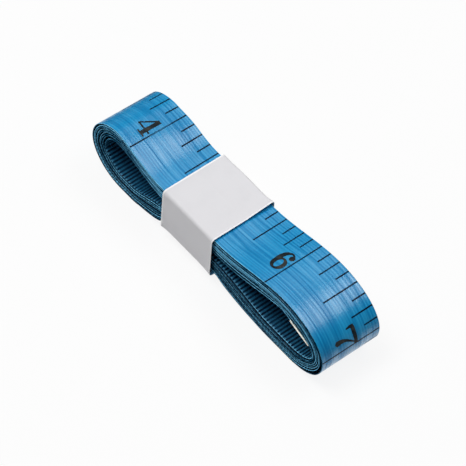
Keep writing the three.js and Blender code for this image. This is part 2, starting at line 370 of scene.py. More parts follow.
def vinyl_finish(colours, winding):
    """Coated cloth: fine yarns along the strip, a gloss that they break up, cut edges with a painted
    highlight and painted shade, painted highlights along the faces' edges, and painted shade on the inner
    face and between the layers.
    """
    finish = Finish("blue_vinyl_cloth")
    strip = finish.node("ShaderNodeUVMap", {"uv_map": "strip"}, {})
    along = finish.node("ShaderNodeSeparateXYZ", {}, {"Vector": strip})
    around = along.other("Y")
    base, relief, gloss = cloth_threads(finish, colours, strip, around)
    edge = cut_edge(finish, colours, winding, strip, along, around)

    face = winding.flat + winding.cut
    inner = around.maths("GREATER_THAN", face)
    away = (around.maths("WRAP", face, 0) - winding.flat / 2).maths("ABSOLUTE")

    def fade(start, end):
        """From 0 at one distance from the strip's edge to 1 at another."""
        return away.clamped(winding.flat / 2 - start, winding.flat / 2 - end)

    outer_hidden = (1 - inner) * along.maths("GREATER_THAN", winding.first_turn)
    inner_hidden = inner * along.maths("LESS_THAN", winding.length - winding.last_turn)
    # Painted highlight: the outer face turns paler along its edges
    base = finish.mix((1 - inner) * fade(*OUTER_RIM_HIGHLIGHT_FADE) * 0.5, base, colours.thread)
    # Painted shade: the whole inner face is darkened
    base = finish.mix(inner * 0.68, base, colours.shade)
    # Painted highlight: the inner face turns paler along its edges
    base = finish.mix(inner * fade(*INNER_RIM_HIGHLIGHT_FADE) * 0.3, base, colours.edge_pale)
    # Painted shade on the hidden faces near the edges, between the layers
    base = finish.mix((outer_hidden + inner_hidden) * fade(*GAP_SHADE_FADE) * 0.9, base, colours.gap)
    shader = finish.principled({
        "Base Color": base,
        "Roughness": 0.34,
        "Normal": finish.bump(relief, 0.75, YARN_RELIEF),
        "IOR": 1.33,
        "Coat Weight": gloss,
        "Coat Roughness": 0.24,
        "Coat IOR": 1.7,
    })
    sawn = finish.node("ShaderNodeBsdfDiffuse", {}, {"Color": edge})
    shader = finish.node("ShaderNodeMixShader", {}, {0: fade(*CUT_FADE), 1: shader, 2: sawn})
    return finish.surface(shader)


def ink_finish(name, fresh, rubbed):
    """Printing ink under the gloss, rubbed thin in places."""
    finish = Finish(name)
    place = finish.node("ShaderNodeTexCoord", {}, {}, "Object")
    rub = finish.stretched(place, (900, 900, 900), 4)
    blotch = finish.stretched(place, (260, 260, 260), 2)
    worn = rub.clamped(0.50, 0.72) * 0.5 + blotch.clamped(0.46, 0.62) * 0.5
    return finish.surface(finish.principled({
        "Base Color": finish.mix(worn, fresh, rubbed),
        "Roughness": 0.36 + rub * 0.1,
        "Normal": finish.bump(rub, 0.3, INK_RELIEF),
        "IOR": 1.22,
    }))


def brass_finish(colours):
    """Bright rolled brass with fine lines and a little tarnish."""
    finish = Finish("brass")
    place = finish.node("ShaderNodeTexCoord", {}, {}, "Object")
    lines = finish.stretched(place, (500, 9000, 500), 3)
    spots = finish.stretched(place, (700, 700, 700), 4)
    return finish.surface(finish.principled({
        "Base Color": finish.mix(spots.clamped(0.45, 0.80) * 0.2, colours.brass, colours.brass_deep),
        "Metallic": 1,
        "Roughness": 0.12 + spots * 0.16,
        "Normal": finish.bump(lines, 0.25, BRASS_RELIEF),
    }))


def paper_finish(colours, rim):
    """Smooth white paper with a faint fibre and a painted highlight along the band's two edges."""
    finish = Finish("white_paper")
    place = finish.node("ShaderNodeTexCoord", {}, {}, "Object")
    fibre = finish.stretched(place, (2600, 1300, 2600), 5, 0.62)
    cloud = finish.stretched(place, (220, 220, 220), 3)
    grey = (fibre - 0.5) * 0.25 + (cloud - 0.5) * 0.5
    base = finish.mix(grey, colours.paper, colours.paper_grey)
    split = finish.node("ShaderNodeSeparateXYZ", {}, {"Vector": place})
    away = (split - (BAND_LOW.x + BAND_HIGH.x) / 2).maths("ABSOLUTE")
    end = (BAND_HIGH.x - BAND_LOW.x) / 2
    return finish.surface(finish.principled({
        # Painted highlight along the band's two edges
        "Base Color": finish.mix(away.clamped(end - rim, end - rim * 0.7), base, colours.paper_rim),
        "Roughness": 0.62 + cloud * 0.12,
        "Normal": finish.bump(fibre, 0.22, FIBRE_RELIEF),
        "IOR": 1.45,
    }))


def floor_finish(colours):
    """A pale floor that keeps the shadow and shows the camera a white field, the gloss one that ends."""
    finish = Finish("pale_floor")
    camera = finish.node("ShaderNodeLightPath", {}, {}, "Is Camera Ray")
    glossy = camera.other("Is Glossy Ray")
    passing = camera.other("Is Transmission Ray")
    place = finish.node("ShaderNodeTexCoord", {}, {}, "Object")
    far = finish.node("ShaderNodeVectorMath", {"operation": "LENGTH"}, {0: place}, "Value")
    far = far.clamped(*FAR_FLOOR_FADE)
    matt = finish.principled({"Base Color": colours.floor, "Roughness": 0.9})
    dark = finish.node("ShaderNodeEmission", {}, {"Color": (1, 1, 1), "Strength": 0.02})
    white = finish.node("ShaderNodeEmission", {}, {"Color": (1, 1, 1), "Strength": 1})
    shown = finish.node("ShaderNodeMixShader", {}, {0: glossy * far, 1: matt, 2: dark})
    seen = (camera + passing + glossy * (1 - far)) * 0.88
    return finish.surface(finish.node("ShaderNodeMixShader", {}, {0: seen, 1: shown, 2: white}))


def eased(share):
    """From 0 to 1, level at both ends."""
    return (1 - math.cos(math.pi * share)) / 2


def between(value, start, run):
    """How far a value is along a run, from 0 at its start to 1 at its end."""
    return min(max((value - start) / run, 0), 1)


def shares(steps):
    """Even shares of a way, the last one 1."""
    return [(i + 1) / steps for i in range(steps)]


class Station:
    """A point of the strip's middle line, with the normal that points out of the winding."""

    def __init__(self, x, z, along_x, along_z):
        size = math.hypot(along_x, along_z)
        self.x = x
        self.z = z
        self.nx = -along_z / size
        self.nz = along_x / size

    def outward(self, distance):
        return Station(self.x + self.nx * distance, self.z + self.nz * distance, self.nz, -self.nx)


def shoulder(start, end, steps):
    """A run that leaves and arrives level, without its first point."""
    run = end[0] - start[0]
    rise = end[1] - start[1]
    made = []
    for share in shares(steps):
        slope = rise * math.pi * math.sin(math.pi * share) / 2
        made.append(Station(start[0] + run * share, start[1] + rise * eased(share), run, slope))
    return made


def shoulders(points, steps):
    """Shoulders from point to point, each in its own number of steps."""
    made = []
    for start, end, count in zip(points, points[1:], steps):
        made += shoulder(start, end, count)
    return made


class Loop:
    """The outermost line of one end loop, whose round end starts at one x on top and another underneath."""

    def __init__(self, high_x, low_x, tip_x, z, rise):
        self.high_x = high_x
        self.low_x = low_x
        self.tip_x = tip_x
        self.z = z
        self.rise = rise

    def end(self, start_angle, steps):
        """Stations round the end in equal steps of the way the normal points, with each one's share."""
        made = []
        for share in shares(steps):
            angle = start_angle - math.pi * share
            middle = self.low_x if math.sin(angle) < 0 else self.high_x
            reach = abs(self.tip_x - middle)
            size = math.hypot(reach * math.cos(angle), self.rise * math.sin(angle))
            x = middle + reach * reach * math.cos(angle) / size
            z = self.z + self.rise * self.rise * math.sin(angle) / size
            made.append((Station(x, z, math.sin(angle), -math.cos(angle)), share))
        return made


class Winding:
    """The route of the strip from its first end to its last, clockwise from the front."""

    # Stations on each part of a turn
    end_steps = 44
    large_steps = 26
    small_steps = 18
    waist_steps = 2
    large_foot_steps = 4
    small_foot_steps = 2
    tail_steps = 8

    # The uneven air between the layers
    air_seed = 11
    air_swing = 0.30

    # How a belly and a dip lean towards one end of their run, and how the small loop's lean grows upwards
    belly_power = 0.6
    dip_power = 0.8
    lean_power = 3

    # The strip's first and last turns, of which one face is open to the air
    first_turn = 190 * MM
    last_turn = 165 * MM

    # The stray sideways is two waves, with their lengths, starts and shares, and the first end's, which fades
    slow_wave = (430 * MM, -0.986, 0.6)
    quick_wave = (117 * MM, -1.544, 0.4)
    first_end_fade = 60 * MM

    def __init__(self, sizes):
        self.sizes = sizes
        self.half = sizes.tape_thickness / 2
        self.flat = sizes.tape_width - sizes.tape_thickness
        self.cut = 3 * sizes.tape_thickness / 2
        self.gaps = sizes.layers - 1
        self.waist_x = (BAND_LOW.x + BAND_HIGH.x) / 2
        self.clip_leaf = TAPE_HIGH.z - sizes.large_height
        self.draw_air()
        band = BAND_HIGH.x - BAND_LOW.x
        spare = sizes.tape_length - self.measure(self.route(band))[-1]
        self.waist_run = band + spare / (2 * sizes.layers)
        self.stations = self.route(self.waist_run)
        self.travelled = self.measure(self.stations)
        self.length = self.travelled[-1]

    def draw_air(self):
        """How the air between the layers swells and narrows on its way round."""
        draw = random.Random(self.air_seed)
        self.air = [
            [(draw.choice((1, 2, 3)), draw.uniform(0, math.tau)) for _ in range(2)]
            for _ in range(self.gaps)
        ]

    def depth(self, station):
        """From the innermost layer to the outermost, by the side of the winding that a station is on."""
        sizes = self.sizes
        across = sizes.large_end_pitch if station.nx > 0 else sizes.small_end_pitch
        upright = sizes.top_pitch if station.nz > 0 else sizes.under_pitch
        slack = 0
        if station.nz < 0 and station.nx < 0 and station.x < self.waist_x:
            slack = sizes.small_slack * 2 * station.nx * station.nz
        elif station.nz < 0:
            slack = -sizes.large_slack * station.nz * eased(between(station.x, BAND_HIGH.x, sizes.belly_run))
        return self.gaps * (across * station.nx**2 + upright * station.nz**2) + slack

    def share(self, turn, phase, station):
        """A turn's share of the depth, from 0 innermost, at a station and its phase of the way round."""
        weights = [
            1 + self.air_swing * sum(math.sin(math.tau * waves * phase + start) for waves, start in pairs) / 2
            for pairs in self.air
        ]
        weights[0] *= self.sizes.outer_gap
        weights[-1] *= 1 + (self.sizes.inner_gap - 1) * (1 - max(station.nx, 0))
        return sum(weights[turn:]) / sum(weights)

    def sunk(self, station, share, swell=0):
        """A station of the outermost line, moved in to the layer with that share of the depth."""
        return station.outward(swell - (1 - share) * self.depth(station))

    def belly(self, station):
        """How far the outermost turn hangs down beside the band."""
        sizes = self.sizes
        large = between(station.x, BAND_HIGH.x + sizes.belly_start, sizes.belly_run)
        small = between(station.x, BAND_LOW.x - sizes.small_belly_start, -sizes.small_belly_run)
        hang = sizes.large_belly * math.sin(math.pi * large ** self.belly_power)
        return hang + sizes.small_belly * math.sin(math.pi * small ** self.belly_power)

    def loops(self, left, right):
        """The outermost line's two end loops, for a waist between two places."""
        sizes = self.sizes
        small_x = left - sizes.small_shoulder
        small = Loop(
            small_x,
            small_x + sizes.small_heel,
            small_x - sizes.small_reach + self.half,
            sizes.small_height / 2,
            sizes.small_height / 2 - self.half,
        )
        large_x = right + sizes.large_shoulder
        large = Loop(
            large_x,
            large_x + sizes.large_heel,
            large_x + sizes.large_reach - self.half,
            self.clip_leaf + sizes.large_height / 2,
            sizes.large_height / 2 - self.half,
        )
        return small, large

    def lines(self, small, large, left, right):
        """The outermost line between the loops, underneath and on top."""
        foot = self.sizes.foot_run
        waist_z = (BAND_LOW.z + BAND_HIGH.z) / 2 + self.paper_step()
        waist_rise = self.sizes.waist_height / 2 - self.half
        bottom = [
            (large.low_x, large.z - large.rise),
            (large.high_x - foot, large.z - large.rise),
            (right, waist_z - waist_rise),
            (left, waist_z - waist_rise),
            (small.low_x + foot, small.z - small.rise),
            (small.low_x, small.z - small.rise),
        ]
        top = [
            (small.high_x, small.z + small.rise),
            (left, waist_z + waist_rise),
            (right, waist_z + waist_rise),
            (large.high_x, large.z + large.rise),
        ]
        over_steps = (self.small_steps, self.waist_steps, self.large_steps)
        under_steps = (self.large_foot_steps, *reversed(over_steps), self.small_foot_steps)
        return shoulders(bottom, under_steps), shoulders(top, over_steps)

    def route(self, waist_run):
        """Every station of the strip, for a waist of that length."""
        sizes = self.sizes
        left = self.waist_x - waist_run / 2
        right = self.waist_x + waist_run / 2
        small, large = self.loops(left, right)
        under, over = self.lines(small, large, left, right)
        small_end = small.end(-math.pi / 2, self.end_steps)
        large_end = large.end(math.pi / 2, self.end_steps)
        turn_steps = len(under) + len(small_end) + len(over) + len(large_end)
        lift_end = large.high_x - 2 * sizes.foot_run
        start = Station(large.low_x, large.z - large.rise + sizes.first_end_lift, -1, 0)
        route = [Station(start.x + sizes.first_end_run, start.z, -1, 0), start]
        for turn in range(sizes.layers):
            loose = turn == 0
            sagging = max(turn - sizes.layers + 3, 0) / 2
            step = 0
            for station in under:
                step += 1
                share = self.share(turn, step / turn_steps, station)
                swell = share * self.belly(station)
                swell -= loose * sizes.first_end_lift * eased(between(station.x, lift_end, sizes.foot_run))
                route.append(self.sunk(station, share, swell))
            for station, way in small_end:
                step += 1
                swell = loose * sizes.small_air * math.sin(math.pi * way) ** 2
                route.append(self.sunk(station, self.share(turn, step / turn_steps, station), swell))
            for station in over:
                step += 1
                share = self.share(turn, step / turn_steps, station)
                way = between(station.x, self.waist_x, large.high_x - self.waist_x)
                swell = -sagging * sizes.inner_sag * math.sin(math.pi * way) ** self.dip_power
                way = between(station.x, left, small.high_x - left)
                swell -= share * sizes.small_dip * math.sin(math.pi * way) ** self.dip_power
                route.append(self.sunk(station, share, swell))
            if turn == sizes.layers - 1:
                break
            for station, way in large_end:
                step += 1
                share = self.share(turn, step / turn_steps, station)
                share -= (share - self.share(turn + 1, step / turn_steps, station)) * eased(way)
                swell = loose * sizes.large_air * math.sin(math.pi * way ** sizes.large_air_lean) ** 2
                route.append(self.sunk(station, share, swell))
        route += [self.sunk(station, 0) for station, way in large_end]
        while route[-1].x > large.high_x + sizes.last_end_reach or route[-1].nz < 0:
            route.pop()
        return route + self.last_end(route[-1])

    def paper_step(self):
        """Half the extra paper of the overlap, which the band's box holds underneath."""
        overall = BAND_HIGH.z - BAND_LOW.z
        side = (BAND_HIGH.y - BAND_LOW.y - self.sizes.tape_width) / 2
        return (overall - self.sizes.waist_height - 2 * side) / 2

    def last_end(self, start):
        """The last end leaves its layer in an arc and runs on straight to its tip."""
        sizes = self.sizes
        slope = math.atan2(-start.nx, start.nz)
        hub = start.outward(-sizes.last_end_radius)
        made = []
        for share in shares(self.tail_steps):
            angle = slope - (slope + sizes.last_end_droop) * share
            turned = Station(hub.x, hub.z, math.cos(angle), math.sin(angle))
            made.append(turned.outward(sizes.last_end_radius))
        bend = made[-1]
        for share in shares(self.tail_steps):
            run = sizes.last_end_run * share
            made.append(Station(bend.x + bend.nz * run, bend.z - bend.nx * run, bend.nz, -bend.nx))
        return made

    @staticmethod
    def measure(route):
        """How far along the strip each station is."""
        travelled = [0]
        for before, after in zip(route, route[1:]):
            travelled.append(travelled[-1] + math.hypot(after.x - before.x, after.z - before.z))
        return travelled

    def drift(self, along):
        """The strip's stray sideways."""
        stray = 0
        for wave, start, share in (self.slow_wave, self.quick_wave):
            stray += share * math.sin(math.tau * along / wave + start)
        first = math.exp(-along / self.first_end_fade)
        return self.sizes.side_drift * stray * (1 - first) + self.sizes.first_end_drift * first

    def place(self, along, across, height):
        """A point on the strip: along it, across it from its middle line, and out of its middle surface."""
        index = min(max(bisect.bisect_right(self.travelled, along), 1), len(self.stations) - 1)
        gap = self.travelled[index] - self.travelled[index - 1]
        share = (along - self.travelled[index - 1]) / gap
        return self.point(index - 1, across, height).lerp(self.point(index, across, height), share)

    def point(self, index, across, height):
        """The same at one of the stations. The small loop's top is lower towards its far edge."""
        sizes = self.sizes
        station = self.stations[index]
        x = station.x + station.nx * height
        y = across + self.drift(self.travelled[index])
        z = station.z + station.nz * height
        start = self.waist_x - self.waist_run / 2 - sizes.small_shoulder + sizes.small_lean_run
        share = eased(between(x, start, -sizes.small_lean_run)) * (z / sizes.small_height) ** self.lean_power
        far = y / sizes.tape_width + 1 / 2
        return Vector((x, y, z - sizes.small_lean * share * far))


def new_piece(name, vertices, faces, material):
    """A mesh object at the origin with its finish."""
    mesh = bpy.data.meshes.new(name)
    mesh.from_pydata(vertices, [], faces)
    mesh.validate()
    piece = bpy.data.objects.new(name, mesh)
    bpy.context.scene.collection.objects.link(piece)
    mesh.materials.append(material)
    return piece


def only(piece):
    """Makes a piece the one selected and active object."""
    bpy.ops.object.select_all(action="DESELECT")
    piece.select_set(True)
    bpy.context.view_layer.objects.active = piece


def tape_section(sizes):
    """The strip's cross-section as (across, height) points, once round from the near edge's top."""
    radius = sizes.tape_thickness / 2
    edge = sizes.tape_width / 2 - radius
    steps = 6
    inside = [edge * step / steps for step in range(1 - steps, steps)]
    flats = [-edge, -edge + radius] + inside + [edge - radius, edge]
    turns = [math.pi / 4, 0, -math.pi / 4]
    far = [(edge + radius * math.cos(turn), radius * math.sin(turn)) for turn in turns]
    near = [(-across, -height) for across, height in far]
    upper = [(across, radius) for across in flats]
    lower = [(-across, -radius) for across in flats]
    return upper + far + lower + near


class AddTapeStrip(bpy.types.Operator):
    """Adds the coated cloth strip in its wound form"""

    bl_idname = "object.tape_measure_strip"
    bl_label = "Add Tape Strip"

    def execute(self, context):
        sizes = context.scene.tape_winding_sizes
        winding = Winding(sizes)
        section = tape_section(sizes)
        ring = len(section)
        vertices = []
        for index in range(len(winding.stations)):
            vertices += [winding.point(index, across, height) for across, height in section]
        faces = []
        places = []
        walk = [0]
        for before, after in zip(section, section[1:] + section[:1]):
            walk.append(walk[-1] + math.dist(before, after))
        for i in range(len(winding.stations) - 1):
            for j in range(ring):
                k = (j + 1) % ring
                corners = (i * ring + j, (i + 1) * ring + j, (i + 1) * ring + k, i * ring + k)
                faces.append(corners)
                start, end = winding.travelled[i], winding.travelled[i + 1]
                places += [(start, walk[j]), (end, walk[j]), (end, walk[j + 1]), (start, walk[j + 1])]
        last = (len(winding.stations) - 1) * ring
        faces.append(tuple(range(ring)))
        faces.append(tuple(last + j for j in reversed(range(ring))))
        places += [(winding.travelled[0], walk[j]) for j in range(ring)]
        places += [(winding.travelled[-1], walk[j]) for j in reversed(range(ring))]
        material = vinyl_finish(context.scene.tape_measure_colours, winding)
        tape = new_piece("tape", vertices, faces, material)
        layer = tape.data.uv_layers.new(name="strip")
        for corner, place in zip(layer.data, places):
            corner.uv = place
        only(tape)
        bpy.ops.object.shade_smooth_by_angle(angle=SMOOTH_ANGLE)
        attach(tape, "winding")
        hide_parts("tape_strip")
        return {"FINISHED"}


def smooth_path(points, samples):
    """A curve through (x, y, width) points, evenly sampled between each pair."""

    def curve(before, start, end, after, share):
        """One value on its way from a start to an end, in the direction that its neighbours give."""
        bend = 2 * before - 5 * start + 4 * end - after
        twist = 3 * start - before - 3 * end + after
        return 0.5 * (2 * start + (end - before) * share + bend * share**2 + twist * share**3)

    ends = [points[0]] + list(points) + [points[-1]]
    made = []
    for four in zip(ends, ends[1:], ends[2:], ends[3:]):
        for i in range(samples):
            made.append(tuple(curve(*values, i / samples) for values in zip(*four)))
    made.append(tuple(points[-1]))
    return made


def oval(x, y, reach, rise, thin, thick):
    """A closed oval stroke whose sides are thick and whose top and bottom are thin."""
    steps = 16
    points = []
    for i in range(steps + 1):
        angle = math.tau * i / steps
        width = thin + (thick - thin) * abs(math.cos(angle)) ** 1.5
        points.append((x + reach * math.cos(angle), y + rise * math.sin(angle), width))
    return points


def ball(x, y, radius):
    """A round dot as a stroke whose width swells and narrows."""
    steps = 6
    least = 0.02
    points = []
    for i in range(steps + 1):
        away = -math.cos(math.pi * i / steps)
        width = 2 * radius * math.sqrt(max(1 - away * away, least))
        points.append((x + radius * away, y, width))
    return points


def turned(strokes, width):
    """Strokes turned half way round, within a figure's width and a height of 1."""
    return [[(width - x, 1 - y, wide) for x, y, wide in stroke] for stroke in strokes]


SIX = [
    ball(0.53, 0.79, 0.12),
    [
        (0.57, 0.85, 0.08), (0.47, 0.94, 0.08), (0.35, 0.955, 0.09),
        (0.19, 0.83, 0.17), (0.115, 0.58, 0.20), (0.12, 0.34, 0.18),
    ],
    oval(0.34, 0.305, 0.220, 0.27, 0.09, 0.18),
]

# Each figure's strokes, as shares of its height: across, up and stroke width
FIGURE_SHARES = {
    "0": [oval(0.34, 0.5, 0.225, 0.465, 0.07, 0.17)],
    "1": [
        [(0.34, 0.98, 0.17), (0.34, 0.02, 0.17)],
        [(0.30, 0.955, 0.05), (0.20, 0.86, 0.06), (0.08, 0.81, 0.06)],
        [(0.11, 0.03, 0.06), (0.57, 0.03, 0.06)],
    ],
    "2": [
        ball(0.17, 0.74, 0.10),
        [
            (0.11, 0.76, 0.05), (0.17, 0.90, 0.06), (0.34, 0.965, 0.07), (0.51, 0.86, 0.15),
            (0.51, 0.66, 0.17), (0.34, 0.42, 0.11), (0.13, 0.18, 0.07), (0.06, 0.05, 0.05),
        ],
        [(0.05, 0.09, 0.14), (0.30, 0.10, 0.15), (0.50, 0.08, 0.15), (0.61, 0.22, 0.05)],
    ],
    "3": [
        ball(0.16, 0.80, 0.09),
        [
            (0.10, 0.82, 0.05), (0.18, 0.93, 0.06), (0.32, 0.965, 0.07),
            (0.48, 0.87, 0.14), (0.47, 0.66, 0.13), (0.28, 0.545, 0.05),
        ],
        [
            (0.28, 0.545, 0.05), (0.48, 0.46, 0.13), (0.55, 0.27, 0.18), (0.47, 0.10, 0.13),
            (0.30, 0.035, 0.07), (0.16, 0.08, 0.06), (0.09, 0.19, 0.05),
        ],
        ball(0.16, 0.20, 0.10),
    ],
    "4": [
        [(0.44, 0.97, 0.07), (0.05, 0.30, 0.07)],
        [(0.03, 0.285, 0.075), (0.67, 0.285, 0.075)],
        [(0.47, 0.98, 0.17), (0.47, 0.02, 0.17)],
        [(0.29, 0.035, 0.07), (0.65, 0.035, 0.07)],
    ],
    "5": [
        [(0.12, 0.915, 0.15), (0.58, 0.925, 0.15)],
        [(0.13, 0.95, 0.06), (0.11, 0.49, 0.06)],
        [
            (0.11, 0.50, 0.05), (0.30, 0.60, 0.07), (0.50, 0.50, 0.14), (0.56, 0.31, 0.18),
            (0.48, 0.11, 0.13), (0.30, 0.035, 0.07), (0.16, 0.08, 0.06), (0.09, 0.19, 0.05),
        ],
        ball(0.16, 0.20, 0.10),
    ],
    "6": SIX,
    "7": [
        [(0.02, 0.90, 0.17), (0.30, 0.90, 0.17), (0.55, 0.91, 0.15), (0.74, 0.90, 0.17)],
        [(0.00, 0.97, 0.09), (-0.01, 0.82, 0.10), (0.01, 0.62, 0.05)],
        [(0.72, 0.93, 0.05), (0.55, 0.72, 0.07), (0.40, 0.50, 0.11), (0.33, 0.28, 0.17), (0.33, 0.10, 0.21)],
        ball(0.33, 0.10, 0.105),
    ],
    "8": [
        oval(0.34, 0.75, 0.18, 0.215, 0.06, 0.14),
        oval(0.34, 0.275, 0.225, 0.24, 0.07, 0.17),
    ],
    "9": turned(SIX, 0.68),
}
FIGURE_ADVANCE_SHARE = 0.70


class Print:
    """Ink on one face of the strip. Each stroke is a thin closed body, bent onto the face."""

    # How much each stroke of a figure stands above the one before, so that no two faces lie in one place
    stroke_step = 0.001 * MM

    def __init__(self, winding, scale_sizes, face):
        self.winding = winding
        self.face = face
        self.top = winding.half + scale_sizes.ink_height
        self.foot = winding.half - scale_sizes.ink_depth
        self.vertices = []
        self.faces = []

    def put(self, along, across, height):
        self.vertices.append(self.winding.place(along, self.face * across, self.face * height))

    def stroke(self, path, columns, lift=0):
        """A stroke along (along, across, width) points, with so many columns of faces over its width."""
        start = len(self.vertices)
        count = len(path)
        across = columns + 1
        for height in (self.top + lift, self.foot):
            for i, (x, y, width) in enumerate(path):
                before = path[max(i - 1, 0)]
                after = path[min(i + 1, count - 1)]
                run = (after[0] - before[0], after[1] - before[1])
                size = math.hypot(*run) or 1
                for j in range(across):
                    side = width * (j / columns - 0.5)
                    self.put(x - run[1] / size * side, y + run[0] / size * side, height)
        below = count * across
        for i in range(count - 1):
            row = start + i * across
            for j in range(columns):
                a, b = row + j, row + j + 1
                self.faces.append((a, a + across, b + across, b))
                self.faces.append((below + b, below + b + across, below + a + across, below + a))
            self.faces.append((row + across, row, row + below, row + across + below))
            edge = row + columns
            self.faces.append((edge, edge + across, edge + across + below, edge + below))
        tail = start + (count - 1) * across
        for j in range(columns):
            self.faces.append((start + j, start + j + 1, start + j + 1 + below, start + j + below))
            self.faces.append((tail + j + 1, tail + j, tail + j + below, tail + j + 1 + below))

    def mark(self, along, start, end, width):
        """A straight mark across the strip."""
        self.stroke([(along, start, width), (along, end, width)], columns=1)

    def figure(self, text, right, foot, height, samples, columns):
        """A number whose right side stands at a place along the strip."""
        left = right - len(text) * FIGURE_ADVANCE_SHARE * height
        for index, digit in enumerate(text):
            origin = left + index * FIGURE_ADVANCE_SHARE * height
            for order, stroke in enumerate(FIGURE_SHARES[digit]):
                path = [
                    (origin + x * height, foot + y * height, width * height)
                    for x, y, width in smooth_path(stroke, samples)
                ]
                self.stroke(path, columns, order * self.stroke_step)

    def piece(self, name, material):
        made = new_piece(name, self.vertices, self.faces, material)
        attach(made, "winding")
        return made


def longest(count, reaches):
    """The reach of the largest step that a count is a whole number of."""
    return next(reach for step, reach in reaches.items() if count % step == 0)


class AddInchScale(bpy.types.Operator):
    """Adds the printed inch scale on the outer face of the strip"""

    bl_idname = "object.tape_measure_inch_scale"
    bl_label = "Add Inch Scale"

    def execute(self, context):
        sizes = context.scene.tape_scale_sizes
        strip = context.scene.tape_winding_sizes
        winding = Winding(strip)
        marks = Print(winding, sizes, 1)
        figures = Print(winding, sizes, 1)
        far = strip.tape_width / 2 - winding.half
        reaches = {8: 2 * far, 4: sizes.half_mark, 2: sizes.quarter_mark, 1: sizes.eighth_mark}
        for eighth in range(1, 8 * sizes.inches):
            marks.mark(eighth * INCH / 8, far - longest(eighth, reaches), far, sizes.inch_line)
        foot = sizes.figure_foot - strip.tape_width / 2
        for inch in range(1, sizes.inches):
            right = inch * INCH - sizes.figure_air
            figures.figure(str(inch), right, foot, sizes.figure_height, samples=5, columns=4)
        colours = context.scene.tape_measure_colours
        marks.piece("inch_marks", ink_finish("inch_ink", colours.ink, colours.ink_worn))
        figures.piece("inch_figures", ink_finish("figure_ink", colours.figure_ink, colours.figure_worn))
        return {"FINISHED"}


class AddCentimetreScale(bpy.types.Operator):
    """Adds the printed centimetre scale on the inner face of the strip"""

    bl_idname = "object.tape_measure_centimetre_scale"
    bl_label = "Add Centimetre Scale"

    def execute(self, context):
        sizes = context.scene.tape_scale_sizes
        strip = context.scene.tape_winding_sizes
        winding = Winding(strip)
        marks = Print(winding, sizes, -1)
        figures = Print(winding, sizes, -1)
        edge = strip.tape_width / 2 - winding.half
        reaches = {10: sizes.centimetre_mark, 5: sizes.five_mark, 1: sizes.millimetre_mark}
        for millimetre in range(1, 10 * sizes.centimetres + 1):
            marks.mark(millimetre * MM, edge - longest(millimetre, reaches), edge, sizes.metric_line)
        foot = sizes.figure_foot - strip.tape_width / 2
        for centimetre in range(1, sizes.centimetres + 1):
            text = str(centimetre)
            middle = centimetre * 10 * MM
            height = sizes.metric_figure_height
            half = len(text) * FIGURE_ADVANCE_SHARE * height / 2
            figures.figure(text, middle + half, foot, height, samples=2, columns=2)
        colours = context.scene.tape_measure_colours
        ink = ink_finish("metric_ink", colours.ink, colours.ink_worn)
        marks.piece("centimetre_marks", ink)
        figures.piece("centimetre_figures", ink)
        return {"FINISHED"}


def wrapped_sheet(name, width, rows, columns, wrap):
    """A flat grid, as wide as the sheet and one long, whose vertices are wrapped to their places."""
    bpy.ops.object.select_all(action="DESELECT")
    bpy.ops.mesh.primitive_grid_add(x_subdivisions=rows, y_subdivisions=columns, size=1)
    piece = bpy.context.object
    piece.name = name
    piece.data.name = name
    for vertex in piece.data.vertices:
        vertex.co = wrap(vertex.co.x + 0.5, vertex.co.y * width)
    return piece


def thickened(piece, thickness, offset, bevel):
    """Gives a sheet its thickness and rounds its cut edges."""
    only(piece)
    solid = piece.modifiers.new("thickness", "SOLIDIFY")
    solid.thickness = thickness
    solid.offset = offset
    solid.use_even_offset = True
    bpy.ops.object.modifier_apply(modifier=solid.name)
    edge = piece.modifiers.new("edge", "BEVEL")
    edge.width = bevel
    edge.segments = 2
    edge.limit_method = "ANGLE"
    edge.angle_limit = math.radians(60)
    bpy.ops.object.modifier_apply(modifier=edge.name)
    bpy.ops.object.shade_smooth_by_angle(angle=SMOOTH_ANGLE)


